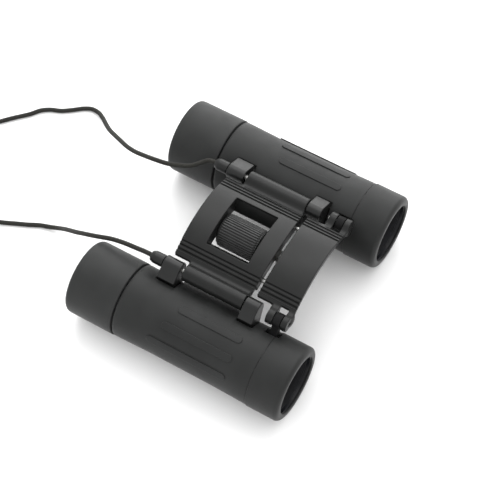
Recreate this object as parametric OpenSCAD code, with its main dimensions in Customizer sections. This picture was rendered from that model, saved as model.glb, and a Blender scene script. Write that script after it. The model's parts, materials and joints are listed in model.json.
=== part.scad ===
// Compact folding binoculars, 8x21 class, with a double hinge and centre focus.
// +X is the user's right, +Y the viewing direction (eyepiece to objective), +Z up.
// The origin lies on the supporting surface, midway between the two barrels.

/* [Barrels] */
// Overall length, eyecup rim to objective rim
body_len = 95; // [94:0.5:96]
// Distance between the two optical axes when fully open
axis_spacing = 75.3; // [75:0.1:76]
// Outer radius of the rubber band at the objective end
band_r = 15.5; // [15.4:0.05:15.7]
// Outer radius of the rubber sleeve between seam and band
sleeve_r = 15.2; // [15.0:0.05:15.3]
// Outer radius of the eyecup
eyecup_r = 15.4; // [15.3:0.05:15.5]
// Outer radius of the hard barrel tube
tube_r = 14; // [13.9:0.05:14.1]
// Bore radius of the hard barrel tube
bore_r = 12.7; // [12.6:0.05:12.8]
// Where the eyecup meets the barrel, along Y
seam_y = -26.1; // [-26.4:0.1:-25.8]
// Where the objective band starts, along Y
band_y = 33.7; // [33.4:0.1:34]

/* [Hinges] */
// Hinge axis, sideways from the middle
hinge_x = 23.8; // [23.7:0.05:23.9]
// Hinge axis, height above the surface
hinge_z = 31.4; // [31.3:0.05:31.5]
// Radius of the knuckles on the barrels
knuckle_r = 3.05; // [3:0.05:3.1]
// Radius of the bridge's hinge tubes
hinge_tube_r = 3.45; // [3.4:0.05:3.5]
// Radius of the steel hinge pins
hinge_pin_r = 1; // [0.9:0.05:1.1]

/* [Bridge] */
// Height of the top of the arch
arch_top = 38.8; // [38.6:0.1:39]
// Radius of the arched top face
arch_r = 36; // [35:0.5:37]
// Height of the underside at the middle of the arch
arch_under = 36.5; // [36.4:0.1:36.6]
// Radius of the arched underside
under_r = 41; // [40:0.5:42]
// Half width of the bridge plates beside the lugs
plate_x = 19.6; // [19.4:0.1:19.7]
// Gap between the main and the front bridge at rest
bridge_gap = 1.9; // [1.9:0.1:2.1]

/* [Focus] */
// Height of the focus screw's axis
screw_z = 30.6; // [30.5:0.1:30.7]
// Radius over the ribs of the focus wheel
wheel_r = 6.8; // [6.6:0.05:6.9]
// Number of ribs round the wheel
wheel_ribs = 40; // [36:2:44]
// Radius of the focus screw's thread
screw_r = 2.4; // [2.3:0.05:2.4]

/* [Strap] */
// Diameter of the strap cord
cord_d = 1.8; // [1.8:0.1:1.8]
// Diameter across the middle of the stored coil's turns
coil_d = 20; // [20:1:20]

/* [Hidden] */
$fn = 96;

run = 0.05;                     // radial clearance of a running fit
front_y = body_len / 2;
rear_y = -body_len / 2;
barrel_x = axis_spacing / 2;
barrel_z = band_r;
// from the barrel's axis to the hinge axis
link_dx = hinge_x - barrel_x;
link_dz = hinge_z - barrel_z;
link_len = sqrt(link_dx * link_dx + link_dz * link_dz);
link_angle = atan2(link_dz, link_dx);

// Lengthways layout of the centre pieces
main_rear_y = -16.5;
main_front_y = 18.3;
front_rear_y = main_front_y + bridge_gap;
front_front_y = 35.5;
lug_rear = [-18, -10.5];
lug_front = [17.6, 23.8];
lug_end_t = 0.8;                // closed end of the front lug's pin hole
hinge_tube = [-9, 17.3];
fork_y = [27.3, 36.2];
arm_y = [30.5, 33.4];
slot_gap = 0.35;
groove_x = [14.4, 15.95, 17.5];
groove_w = 0.85;
groove_depth = 0.5;
window_y = [-6.9, 11.4];
window_top_x = 11.5;
window_low_x = 8.2;
window_low_z = 30.7;
wall_t = 2.2;
boss_r = 3.8;
rod_x = 12.9;
rod_z = 32.6;
rod_r = 0.9;
rod_boss_r = 2;
rod_y = [6, 31];
wheel_y = [-6.5, 10.2];
wheel_core_r = 5.5;
wheel_root_r = 6.3;
rib_w = 0.55;
journal_r = 1.5;
screw_y = [-11, 30.5];
nut_y = [front_rear_y + 0.3, 29];
nut_r = 3;
clip_y = [-10.25, -9.5];
link_pin_r = 0.8;
pin_span = [26.7, 35.9];

// Lengthways layout of a barrel
slot_y = [28.4, 34.8];
arm_w = 3;
arm_knuckle_r = 2.8;
cell_y = [29.5, 38.5];
ring_y = [42.4, 46.6];
cage_y = [-6, 12];
stop_y = [-20.6, -19.4];
neck_y = [-38, seam_y + 0.3];
neck_r = 13;
neck_bore_r = 11;
eyepiece_y = [-43, -24];
eyepiece_r = neck_bore_r - run;
ring_outer_r = 13.7;
lens_r = 11.2;
glass_w = 11;

// Slimmer middle of the armour, and its swelling under the hinge tube
waist = 0.3;
waist_y = [-8, 16];
swell = 0.4;
swell_inset = 2;
swell_angle = 155;
swell_y = [-9.9, 17];

// Grip ribs on the armour: [angle round the barrel, start along Y]
rib_list = [[89, -3.5], [58, -6.5], [27, -10.5]];
rib_end_y = 24.2;
rib_half_w = 1.5;
rib_rise = 0.45;

// Strap: hand-chosen route points of each lead, exit first
cord_r = cord_d / 2;
cap_y = [-22.8, -18.35];
cap_r = 2.5;
cap_mouth_r = 1.8;
neck_end_y = -24.2;
lead_right = [[23.8, -24.2, 31.4], [23.8, -27.5, 31.3], [23.8, -31, 30.6], [23.7, -35.5, 29.6],
    [23.8, -39.5, 28.7], [24.3, -43.5, 28], [25.2, -47.3, 27.3], [25.6, -51.4, 25.6],
    [25.4, -55.5, 23], [24.8, -59.5, 19.6], [23.6, -63.5, 15.4], [22.2, -67.5, 10.8],
    [21, -71, 6.6], [20.4, -74.5, 3.2], [20.8, -78.5, 1.3], [22, -82.5, 0.95],
    [24.2, -87, 0.95], [26.4, -92, 0.95], [28.8, -97.5, 0.95], [30.6, -103.5, 0.95],
    [31.2, -110, 0.95], [30.4, -117, 0.95], [28.6, -123.5, 1.1], [27.8, -128, 1.3]];
lead_left = [[-23.8, -24.2, 31.4], [-23.2, -27.4, 31.2], [-21.2, -29.8, 30.4], [-18.6, -32.8, 29.6],
    [-16.8, -37, 29], [-15.4, -42, 28.5], [-14.5, -47.3, 28.6], [-15.2, -52.5, 26.2],
    [-16.2, -58, 23.6], [-18.2, -63.5, 20.4], [-20.8, -68.5, 17.2], [-23.6, -73.5, 13.6],
    [-26.6, -78.5, 9.8], [-30, -83, 6.2], [-33.4, -87.2, 3.2], [-35.8, -91.2, 1.4],
    [-36.2, -94.8, 0.95], [-34.6, -98.2, 0.95], [-31.6, -102, 0.95], [-28.9, -106, 0.95],
    [-27.2, -110.2, 0.95], [-25, -113.4, 0.95], [-21, -116.6, 0.95], [-16, -121.6, 0.95],
    [-10.5, -126.6, 0.95], [-5, -130.5, 1.3], [-0.5, -133.2, 2.9], [3.6, -135.2, 5.2],
    [7.6, -136.8, 6.7]];
coil_at = [16, -128];
coil_w = 5.4;
coil_z = [0.4, 7.6];
tie_w = 5;
tie_t = 0.4;

// ---- helpers -------------------------------------------------------------

// a straight cylinder along Y, its axis at [x, z]
module rod(r, span, at = [0, 0]) {
    translate([at[0], span[0], at[1]])
        rotate([-90, 0, 0])
            cylinder(r = r, h = span[1] - span[0]);
}

// a cone along Y
module taper(r1, r2, span, at = [0, 0]) {
    translate([at[0], span[0], at[1]])
        rotate([-90, 0, 0])
            cylinder(r1 = r1, r2 = r2, h = span[1] - span[0]);
}

// an outline drawn in X and Z, pushed along Y
module along_y(span) {
    translate([0, span[1], 0])
        rotate([90, 0, 0])
            linear_extrude(height = span[1] - span[0])
                children();
}

// an outline drawn as [radius, y], turned round the Y axis
module lathe() {
    rotate([-90, 0, 0])
        rotate_extrude()
            children();
}

// a ring round the Y axis
module ring(r_out, r_in, span) {
    lathe()
        translate([r_in, span[0]])
            square([r_out - r_in, span[1] - span[0]]);
}

// a box from its lowest to its highest corner
module block(low, high) {
    translate(low)
        cube(high - low);
}

// the right side as drawn, or its mirror image on the left
module side(s) {
    if (s > 0) children();
    else mirror([1, 0, 0]) children();
}

// children drawn about a barrel's axis
module at_barrel(s) {
    side(s)
        translate([barrel_x, 0, barrel_z])
            children();
}

// a wedge of space round a barrel's axis towards the hinge, arm_w + 2 * gap wide
module toward_hinge(from_r, to_r, width, span) {
    rotate([0, -link_angle, 0])
        translate([from_r, span[0], -width / 2])
            cube([to_r - from_r, span[1] - span[0], width]);
}

// ---- bridge --------------------------------------------------------------

// cross-section of the arched plate, out to half width x
module arch_2d(x) {
    intersection() {
        difference() {
            translate([0, arch_top - arch_r]) circle(r = arch_r, $fn = 180);
            translate([0, arch_under - under_r]) circle(r = under_r, $fn = 180);
        }
        translate([-x, 0]) square([2 * x, arch_top + 1]);
    }
}

// the three grooves along each side of a plate
module grooves(span) {
    for (m = [-1, 1])
        for (x = groove_x) {
            z = arch_top - arch_r + sqrt(arch_r * arch_r - x * x);
            block([m * x - groove_w / 2, span[0], z - groove_depth],
                  [m * x + groove_w / 2, span[1], z + 2]);
        }
}

// outline of the wheel window's tapered side walls, grown outwards by t
module window_2d(t) {
    polygon([[-window_low_x - t, window_low_z], [window_low_x + t, window_low_z],
             [window_top_x + t, 36], [window_top_x + t, 42], [-window_top_x - t, 42],
             [-window_top_x - t, 36]]);
}

// end wall of the window, carrying a bearing for the focus screw
module bearing_wall(span) {
    along_y(span) {
        intersection() {
            window_2d(wall_t - 0.6);
            translate([0, arch_top - arch_r]) circle(r = arch_r - 0.5, $fn = 180);
        }
        translate([-boss_r, screw_z]) square([2 * boss_r, 5]);
    }
    rod(boss_r, span, [0, screw_z]);
}

module main_bridge() {
    difference() {
        union() {
            along_y([main_rear_y, main_front_y]) arch_2d(plate_x);
            along_y(hinge_tube) arch_2d(hinge_x - 2);
            for (m = [-1, 1]) {
                rod(hinge_tube_r, hinge_tube, [m * hinge_x, hinge_z]);
                rod(rod_boss_r, [rod_y[0] - 1, main_front_y], [m * rod_x, rod_z]);
                block([m * rod_x - rod_boss_r, rod_y[0] - 1, rod_z],
                      [m * rod_x + rod_boss_r, main_front_y, rod_z + 2.6]);
            }
            intersection() {
                along_y([window_y[0] - wall_t, window_y[1] + wall_t]) window_2d(1.6);
                rod(arch_r - 0.5, [-20, 20], [0, arch_top - arch_r]);
            }
            bearing_wall([window_y[0] - wall_t, window_y[0]]);
            bearing_wall([window_y[1], window_y[1] + wall_t]);
        }
        along_y(window_y) window_2d(0);
        block([-window_low_x, window_y[0], screw_z - 6], [window_low_x, window_y[1], window_low_z + 1]);
        grooves([main_rear_y - 1, main_front_y + 1]);
        rod(journal_r + run, [-20, 0], [0, screw_z]);
        rod(screw_r + run, [0, 20], [0, screw_z]);
        for (m = [-1, 1]) {
            rod(hinge_pin_r, [-20, 20], [m * hinge_x, hinge_z]);
            rod(rod_r, [rod_y[0], 20], [m * rod_x, rod_z]);
        }
    }
}

module front_bridge() {
    difference() {
        union() {
            along_y([front_rear_y, front_front_y]) arch_2d(plate_x);
            along_y(fork_y) arch_2d(hinge_x - 2);
            for (m = [-1, 1]) {
                rod(knuckle_r, fork_y, [m * hinge_x, hinge_z]);
                rod(rod_boss_r, [front_rear_y, 34.4], [m * rod_x, rod_z]);
                block([m * rod_x - rod_boss_r, front_rear_y, rod_z],
                      [m * rod_x + rod_boss_r, 34.4, rod_z + 2.6]);
            }
            rod(boss_r, [front_rear_y, 33.6], [0, screw_z]);
            block([-boss_r, front_rear_y, screw_z], [boss_r, 33.6, arch_under + 0.5]);
        }
        grooves([front_rear_y - 1, front_front_y + 1]);
        rod(nut_r, [front_rear_y - 1, nut_y[1]], [0, screw_z]);
        rod(screw_r + 0.3, [front_rear_y, 33], [0, screw_z]);
        for (m = [-1, 1]) {
            rod(rod_r + run, [front_rear_y - 1, 33.4], [m * rod_x, rod_z]);
            rod(link_pin_r, [20, 40], [m * hinge_x, hinge_z]);
            block([m * (hinge_x - 4.6) - (m < 0 ? 9 : 0), arm_y[0] - slot_gap, hinge_z - 5],
                  [m * (hinge_x - 4.6) + (m > 0 ? 9 : 0), arm_y[1] + slot_gap, hinge_z + 5]);
        }
    }
}

module hinge_pin(s) {
    side(s) rod(hinge_pin_r, [-21, lug_front[1] - lug_end_t - 0.1], [hinge_x, hinge_z]);
}

module strap_cap(s) {
    side(s)
        difference() {
            union() {
                rod(cap_r, cap_y, [hinge_x, hinge_z]);
                taper(cap_mouth_r, cap_r, [neck_end_y, cap_y[0]], [hinge_x, hinge_z]);
            }
            rod(hinge_pin_r, [-21, -18], [hinge_x, hinge_z]);
        }
}

module guide_rods() {
    for (m = [-1, 1])
        rod(rod_r, rod_y, [m * rod_x, rod_z]);
}

module link_pin(s) {
    side(s) rod(link_pin_r, pin_span, [hinge_x, hinge_z]);
}

module focus_nut() {
    difference() {
        rod(nut_r, nut_y, [0, screw_z]);
        rod(screw_r + run, [0, 40], [0, screw_z]);
    }
}

// ---- focus wheel ---------------------------------------------------------

module focus_screw() {
    rod(journal_r, [screw_y[0], wheel_y[0] + 1], [0, screw_z]);
    rod(screw_r, [wheel_y[0] + 1, screw_y[1] - 1], [0, screw_z]);
    taper(screw_r, screw_r - 0.8, [screw_y[1] - 1, screw_y[1]], [0, screw_z]);
}

module screw_clip() {
    difference() {
        rod(2.9, clip_y, [0, screw_z]);
        rod(journal_r, [-20, 0], [0, screw_z]);
        block([-0.9, -20, screw_z - 5], [0.9, 0, screw_z - journal_r + 0.3]);
    }
}

module focus_wheel_hub() {
    difference() {
        rod(wheel_core_r, [wheel_y[0] + 0.3, wheel_y[1] - 0.3], [0, screw_z]);
        rod(journal_r, [-20, wheel_y[0] + 1], [0, screw_z]);
        rod(screw_r, [wheel_y[0] + 1, 20], [0, screw_z]);
    }
}

module focus_wheel_grip() {
    difference() {
        union() {
            rod(wheel_root_r, wheel_y, [0, screw_z]);
            translate([0, 0, screw_z])
                for (i = [0 : wheel_ribs - 1])
                    rotate([0, i * 360 / wheel_ribs, 0])
                        block([wheel_root_r - 0.2, wheel_y[0] + 0.4, -rib_w / 2],
                              [wheel_r, wheel_y[1] - 0.4, rib_w / 2]);
        }
        rod(wheel_core_r, [-20, 20], [0, screw_z]);
    }
}

// ---- barrel --------------------------------------------------------------

// outline of a hinge lug's body, from the knuckle down into the tube wall
module lug_2d() {
    tip = [6.7, -0.6];                       // outer tip, from the hinge axis
    tip_len = norm(tip);
    up = atan2(-tip[1], -tip[0]) - asin(knuckle_r / tip_len);
    reach = sqrt(tip_len * tip_len - knuckle_r * knuckle_r);
    inner = -72;                             // direction of the inner flank
    polygon([tip + reach * [cos(up), sin(up)],
             tip,
             tip + 1.9 * [-sin(up), cos(up)],
             [6.4, -4.6], [2.6, -8.4], [1, -9.6],
             knuckle_r * [sin(inner), -cos(inner)],
             [-1, 0]]);
}

module lug(span, grow = 0) {
    translate([link_dx, 0, link_dz]) {
        if (grow == 0) {
            along_y(span) lug_2d();
            rod(knuckle_r, span);
        } else {
            along_y([span[0] - grow, span[1] + grow]) offset(delta = grow) lug_2d();
        }
    }
}

module barrel(s) {
    at_barrel(s)
        difference() {
            union() {
                rod(tube_r, [seam_y + 0.3, ring_y[1]]);
                rod(neck_r, neck_y);
                lug(lug_rear);
                lug(lug_front);
            }
            rod(bore_r, [-22, 60]);
            rod(neck_bore_r, [-60, 0]);
            toward_hinge(10, 16, arm_w + 2 * slot_gap, slot_y);
            rod(hinge_pin_r + run, [lug_rear[0] - 1, lug_rear[1] + 1], [link_dx, link_dz]);
            rod(hinge_pin_r + run, [lug_front[0] - 1, lug_front[1] - lug_end_t], [link_dx, link_dz]);
        }
}

module armour(s) {
    at_barrel(s)
        difference() {
            union() {
                lathe()
                    polygon([[tube_r, seam_y + 0.3], [sleeve_r - 0.3, seam_y + 0.3],
                             [sleeve_r, seam_y + 0.6], [sleeve_r - waist, waist_y[0]],
                             [sleeve_r - waist, waist_y[1]], [sleeve_r, band_y],
                             [band_r, band_y + 0.3], [band_r, front_y - 2],
                             [band_r - 0.5, front_y - 0.9], [band_r - 1.4, front_y - 0.2],
                             [band_r - 2.2, front_y], [12.9, front_y],
                             [12.2, front_y - 0.3], [12, front_y - 0.9], [tube_r, front_y - 0.9]]);
                swell();
                for (rib = rib_list)
                    grip_rib(rib[0], rib[1]);
            }
            for (span = [lug_rear, lug_front])
                lug_clearance(span);
            toward_hinge(10, 18, arm_w + 2 * slot_gap, slot_y);
        }
}

// the sleeve's slight swelling under the hinge tube, between the lugs
module swell() {
    difference() {
        rod(sleeve_r - swell_inset, swell_y, (swell + swell_inset) * [cos(swell_angle), sin(swell_angle)]);
        rod(tube_r, [swell_y[0] - 1, swell_y[1] + 1]);
    }
}

// one raised oblong on the sleeve, at an angle round the barrel
module grip_rib(angle, start_y) {
    intersection() {
        ring(sleeve_r - waist + rib_rise, sleeve_r - 0.8, [start_y - 1, rib_end_y + 1]);
        rotate([0, -angle, 0])
            union() {
                block([10, start_y + rib_half_w, -rib_half_w], [20, rib_end_y - rib_half_w, rib_half_w]);
                for (y = [start_y + rib_half_w, rib_end_y - rib_half_w])
                    translate([10, y, 0])
                        rotate([0, 90, 0])
                            cylinder(r = rib_half_w, h = 10);
            }
    }
}

// the opening in the rubber round a lug's foot
module lug_clearance(span) {
    gap = 0.45;
    translate([link_dx, 0, link_dz])
        along_y([span[0] - gap, span[1] + gap])
            polygon([[7.9, 1], [7.2, -6], [2, -12], [-0.4, -10.4], [-6, -4], [-6, 4]]);
}

module front_ring(s) {
    at_barrel(s)
        lathe()
            polygon([[bore_r, ring_y[0]], [bore_r, ring_y[1]], [12, ring_y[1]],
                     [11.4, ring_y[0] + 1.2], [11.3, ring_y[0]]]);
}

module prism_cage(s) {
    at_barrel(s)
        difference() {
            rod(bore_r, cage_y);
            block([-glass_w / 2, cage_y[0] + 1, -8.2], [glass_w / 2, cage_y[1] - 1, 7.2]);
            rod(5, [cage_y[0] - 1, cage_y[1] + 1]);
        }
}

// half-penta prism: a 45 degree wedge, light enters by its upright front face
module half_penta_prism(s) {
    edge = 12;
    foot = [8.7, -6];
    at_barrel(s)
        translate([-glass_w / 2, 0, 0])
            rotate([90, 0, 90])
                linear_extrude(height = glass_w)
                    polygon([foot, foot + [0, edge], foot + edge * [-cos(45), sin(45)]]);
}

// Schmidt prism: the matching 45 degree wedge with a 90 degree roof along its base
module roof_prism(s) {
    edge = 14;
    apex = [-4.2, 6.5];
    ridge = apex + [0, -edge];
    at_barrel(s)
        intersection() {
            translate([-glass_w / 2, 0, 0])
                rotate([90, 0, 90])
                    linear_extrude(height = glass_w)
                        polygon([apex, apex + edge * [cos(45), -sin(45)], ridge]);
            translate([0, ridge[0], ridge[1]])
                rotate([22.5, 0, 0])
                    translate([0, 20, 0])
                        rotate([0, 45, 0])
                            translate([-30, -60, 0])
                                cube([30, 120, 30]);
        }
}

module field_stop(s) {
    at_barrel(s) ring(bore_r, 6.2, stop_y);
}

// ---- objective -----------------------------------------------------------

module objective_cell(s) {
    at_barrel(s)
        difference() {
            union() {
                rod(bore_r - run, cell_y);
                toward_hinge(12, link_len - 1, arm_w, arm_y);
                rod(arm_knuckle_r, arm_y, [link_dx, link_dz]);
            }
            rod(lens_r, [cell_y[0] + 2, 60]);
            rod(10.2, [0, 60]);
            rod(link_pin_r + run, [20, 40], [link_dx, link_dz]);
        }
}

// front element: convex front face, curved cement face
module objective_crown(s) {
    at_barrel(s)
        difference() {
            intersection() {
                rod(lens_r, [32.5, 36.6]);
                translate([0, 36.4 - 50, 0]) rotate([-90, 0, 0]) sphere(r = 50, $fn = 120);
            }
            translate([0, 32.9 - 36, 0]) rotate([-90, 0, 0]) sphere(r = 36 - 1.1, $fn = 120);
        }
}

module objective_flint(s) {
    at_barrel(s) rod(lens_r, [cell_y[0] + 2, 32.5 - 0.7]);
}

module objective_retainer(s) {
    at_barrel(s) ring(lens_r, 10.5, [36.6, 38]);
}

// ---- eyepiece ------------------------------------------------------------

module eyepiece_cell(s) {
    at_barrel(s)
        lathe()
            polygon([[8, eyepiece_y[0]], [eyepiece_r, eyepiece_y[0]], [eyepiece_r, eyepiece_y[1]],
                     [9.2, eyepiece_y[1]], [9.2, -28.6], [7.6, -28.6], [7.6, -37.6],
                     [8.8, -37.6], [8.8, -42.4], [8, -42.4]]);
}

module field_lens(s) {
    at_barrel(s)
        intersection() {
            rod(9.2, [-28.6, -24.4]);
            translate([0, -28.6 + 22, 0]) rotate([-90, 0, 0]) sphere(r = 22, $fn = 96);
        }
}

module eye_lens(s) {
    at_barrel(s)
        intersection() {
            rod(8.8, [-42.2, -38.8]);
            translate([0, -38.8 - 26, 0]) rotate([-90, 0, 0]) sphere(r = 26, $fn = 96);
        }
}

module eyepiece_retainer(s) {
    at_barrel(s) ring(8.8, 7.8, [-38.8, -37.6]);
}

// the ring on the neck that carries the eyecup
module eyepiece_ring(s) {
    at_barrel(s)
        lathe()
            polygon([[neck_bore_r, -44.5], [12.4, -44.5], [ring_outer_r, -43], [ring_outer_r, seam_y - 0.35],
                     [neck_r + run, seam_y - 0.35], [neck_r + run, -41.5], [neck_bore_r, -41.5]]);
}

module eyecup(s) {
    at_barrel(s)
        lathe()
            polygon([[ring_outer_r, seam_y - 0.3], [eyecup_r - 0.3, seam_y - 0.3], [eyecup_r, seam_y - 0.6],
                     [eyecup_r, rear_y + 1.6], [eyecup_r - 0.5, rear_y + 0.6],
                     [eyecup_r - 1.4, rear_y], [12.2, rear_y], [11, rear_y + 0.3], [10.6, rear_y + 1],
                     [11.2, rear_y + 1.8], [12.4, rear_y + 3], [ring_outer_r, rear_y + 4.5]]);
}

// ---- strap ---------------------------------------------------------------

// unit direction of travel at point i of a route
function heading(p, i) =
    let (a = p[max(i - 1, 0)], b = p[min(i + 1, len(p) - 1)]) (b - a) / norm(b - a);

// a ring of n points of radius r about point i of a route
function cord_ring(p, i, r, n) =
    let (t = heading(p, i), u = cross(t, [0, 0, 1]) / norm(cross(t, [0, 0, 1])), v = cross(u, t))
    [for (k = [0 : n - 1]) p[i] + r * (u * cos(360 * k / n) + v * sin(360 * k / n))];

// a closed tube swept along a route
module cord_tube(p, r) {
    n = 8;
    last = len(p) - 1;
    polyhedron(
        points = [for (i = [0 : last]) each cord_ring(p, i, r, n)],
        faces = concat(
            [[for (k = [0 : n - 1]) k]],
            [for (i = [0 : last - 1]) for (k = [0 : n - 1])
                [i * n + k, (i + 1) * n + k, (i + 1) * n + (k + 1) % n, i * n + (k + 1) % n]],
            [[for (k = [n - 1 : -1 : 0]) last * n + k]]));
}

module strap_coil() {
    translate([coil_at[0], coil_at[1], 0])
        rotate_extrude()
            translate([coil_d / 2 - coil_w / 2, coil_z[0]])
                square([coil_w, coil_z[1] - coil_z[0]]);
}

module strap_tie() {
    outer = coil_d / 2 + coil_w / 2 + tie_t + 0.1;
    inner = coil_d / 2 - coil_w / 2 - tie_t;
    translate([coil_at[0], coil_at[1], 0])
        difference() {
            block([-tie_w / 2, -outer, 0], [tie_w / 2, -inner, coil_z[1] + tie_t]);
            translate([0, 0, coil_z[0]])
                rotate_extrude()
                    translate([coil_d / 2 - coil_w / 2, 0])
                        square([coil_w, coil_z[1] - coil_z[0]]);
        }
}

// ---- output --------------------------------------------------------------

color("#4a4c4b") main_bridge();
color("silver") hinge_pin(1);  // hinge_pin_right
color("silver") hinge_pin(-1);  // hinge_pin_left
color("#424443") strap_cap(1);  // strap_cap_right
color("#424443") strap_cap(-1);  // strap_cap_left
color("silver") guide_rods();
color("#505251") front_bridge();
color("goldenrod") focus_nut();
color("silver") link_pin(1);  // link_pin_right
color("silver") link_pin(-1);  // link_pin_left
color("#303030") focus_wheel_hub();
color("#363736") focus_wheel_grip();
color("silver") focus_screw();
color("silver") screw_clip();
color("#3c3e3d") barrel(1);  // barrel_right
color("#3c3e3d") barrel(-1);  // barrel_left
color("#464847") armour(1);  // armour_right
color("#464847") armour(-1);  // armour_left
color("#202020") front_ring(1);  // front_ring_right
color("#202020") front_ring(-1);  // front_ring_left
color("#202020") prism_cage(1);  // prism_cage_right
color("#202020") prism_cage(-1);  // prism_cage_left
color("lightblue", 0.5) half_penta_prism(1);  // half_penta_prism_right
color("lightblue", 0.5) half_penta_prism(-1);  // half_penta_prism_left
color("lightblue", 0.5) roof_prism(1);  // roof_prism_right
color("lightblue", 0.5) roof_prism(-1);  // roof_prism_left
color("#202020") field_stop(1);  // field_stop_right
color("#202020") field_stop(-1);  // field_stop_left
color("#303030") objective_cell(1);  // objective_cell_right
color("#303030") objective_cell(-1);  // objective_cell_left
color("lightblue", 0.5) objective_crown(1);  // objective_crown_right
color("lightblue", 0.5) objective_crown(-1);  // objective_crown_left
color("lightblue", 0.5) objective_flint(1);  // objective_flint_right
color("lightblue", 0.5) objective_flint(-1);  // objective_flint_left
color("#202020") objective_retainer(1);  // objective_retainer_right
color("#202020") objective_retainer(-1);  // objective_retainer_left
color("#303030") eyepiece_cell(1);  // eyepiece_cell_right
color("#303030") eyepiece_cell(-1);  // eyepiece_cell_left
color("lightblue", 0.5) field_lens(1);  // field_lens_right
color("lightblue", 0.5) field_lens(-1);  // field_lens_left
color("lightblue", 0.5) eye_lens(1);  // eye_lens_right
color("lightblue", 0.5) eye_lens(-1);  // eye_lens_left
color("#202020") eyepiece_retainer(1);  // eyepiece_retainer_right
color("#202020") eyepiece_retainer(-1);  // eyepiece_retainer_left
color("#2c2c2c") eyepiece_ring(1);  // diopter_ring_right
color("#2c2c2c") eyepiece_ring(-1);  // eyepiece_ring_left
color("#424443") eyecup(1);  // eyecup_right
color("#424443") eyecup(-1);  // eyecup_left
color("#33322a") cord_tube(lead_right, cord_r);  // strap_lead_right
color("#33322a") cord_tube(lead_left, cord_r);  // strap_lead_left
color("#33322a") strap_coil();
color("#202020") strap_tie();
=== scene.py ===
"""Compact folding binoculars: moulded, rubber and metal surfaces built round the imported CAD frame.

Lengths are in millimetres and are turned into metres where a mesh is made, apart from the
cord's route and the camera, which are in metres. +X is the user's right, +Y forward, +Z up.
"""

import json
import math

import bpy
import numpy as np
from mathutils import Matrix, Vector

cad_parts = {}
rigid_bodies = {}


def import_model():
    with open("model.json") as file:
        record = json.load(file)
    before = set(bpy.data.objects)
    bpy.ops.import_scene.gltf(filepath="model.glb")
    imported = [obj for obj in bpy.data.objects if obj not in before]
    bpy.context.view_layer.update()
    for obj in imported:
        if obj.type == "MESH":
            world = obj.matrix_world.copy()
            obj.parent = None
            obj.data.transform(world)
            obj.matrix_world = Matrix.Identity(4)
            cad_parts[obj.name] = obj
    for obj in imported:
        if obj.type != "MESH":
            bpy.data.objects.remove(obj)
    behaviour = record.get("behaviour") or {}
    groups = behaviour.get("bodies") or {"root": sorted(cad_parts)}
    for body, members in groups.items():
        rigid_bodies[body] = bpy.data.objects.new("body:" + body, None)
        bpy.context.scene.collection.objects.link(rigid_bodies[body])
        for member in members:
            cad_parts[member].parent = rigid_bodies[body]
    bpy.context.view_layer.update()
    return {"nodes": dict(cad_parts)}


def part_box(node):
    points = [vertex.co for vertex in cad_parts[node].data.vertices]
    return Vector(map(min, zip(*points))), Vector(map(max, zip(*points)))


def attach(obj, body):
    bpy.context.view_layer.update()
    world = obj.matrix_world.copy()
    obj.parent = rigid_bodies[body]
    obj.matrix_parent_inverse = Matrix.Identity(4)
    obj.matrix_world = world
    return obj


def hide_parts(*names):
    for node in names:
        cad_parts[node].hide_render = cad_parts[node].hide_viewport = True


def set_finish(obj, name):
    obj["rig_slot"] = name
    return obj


for start_object in list(bpy.data.objects):
    bpy.data.objects.remove(start_object)
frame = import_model()
MM = 0.001
nodes = frame["nodes"]
scene = bpy.context.scene


def extent(node):
    """Lowest and highest corner of a CAD node, in millimetres."""
    low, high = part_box(node)
    return np.array(low) / MM, np.array(high) / MM


# ---- driving dimensions, read off the frame ------------------------------------------------

cup_low, cup_high = extent("eyecup_right")
arm_low, arm_high = extent("armour_right")
pin_low, pin_high = extent("hinge_pin_right")
wheel_low, wheel_high = extent("focus_wheel_grip")
plate_high = extent("main_bridge")[1]
front_low = extent("front_bridge")[0]
cap_low, cap_high = extent("strap_cap_right")
BARREL_X = (cup_low[0] + cup_high[0]) / 2
BARREL_Z = (cup_low[2] + cup_high[2]) / 2
HINGE_X = (pin_low[0] + pin_high[0]) / 2
HINGE_Z = (pin_low[2] + pin_high[2]) / 2
SCREW_Z = (wheel_low[2] + wheel_high[2]) / 2
CUP_R = (cup_high[0] - cup_low[0]) / 2
REAR_Y = cup_low[1]
FRONT_Y = arm_high[1]
SEAM_Y = (cup_high[1] + arm_low[1]) / 2
BAND_R = (arm_high[0] - arm_low[0]) / 2
SLEEVE_R = 15.2
BAND_Y = 33.7
SIDES = {"right": 1, "left": -1}

# ---- camera --------------------------------------------------------------------------------

CAMERA = {"azimuth": 123.561, "elevation": 61.291, "roll": -3.521, "distance": 0.647691}
CAMERA_TARGET = Vector((-0.003842, 0.002574, 0.015482))
CAMERA_LENS = 118.5
SENSOR_WIDTH = 36
VIEW_DEPTH = 20


def make_camera():
    a, e, r = (math.radians(CAMERA[k]) for k in ("azimuth", "elevation", "roll"))
    back = Vector((math.sin(a) * math.cos(e), -math.cos(a) * math.cos(e), math.sin(e)))
    right = Vector((0, 0, 1)).cross(back).normalized()
    up = back.cross(right)
    right, up = math.cos(r) * right + math.sin(r) * up, math.cos(r) * up - math.sin(r) * right
    camera = bpy.data.objects.new("camera", bpy.data.cameras.new("camera"))
    camera.matrix_world = Matrix.Translation(CAMERA_TARGET + back * CAMERA["distance"]) @ Matrix(
        (right, up, back)).transposed().to_4x4()
    camera.data.lens = CAMERA_LENS
    camera.data.sensor_width = SENSOR_WIDTH
    camera.data.clip_end = VIEW_DEPTH
    scene.collection.objects.link(camera)
    scene.camera = camera


make_camera()

# ---- mesh helpers --------------------------------------------------------------------------


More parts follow.
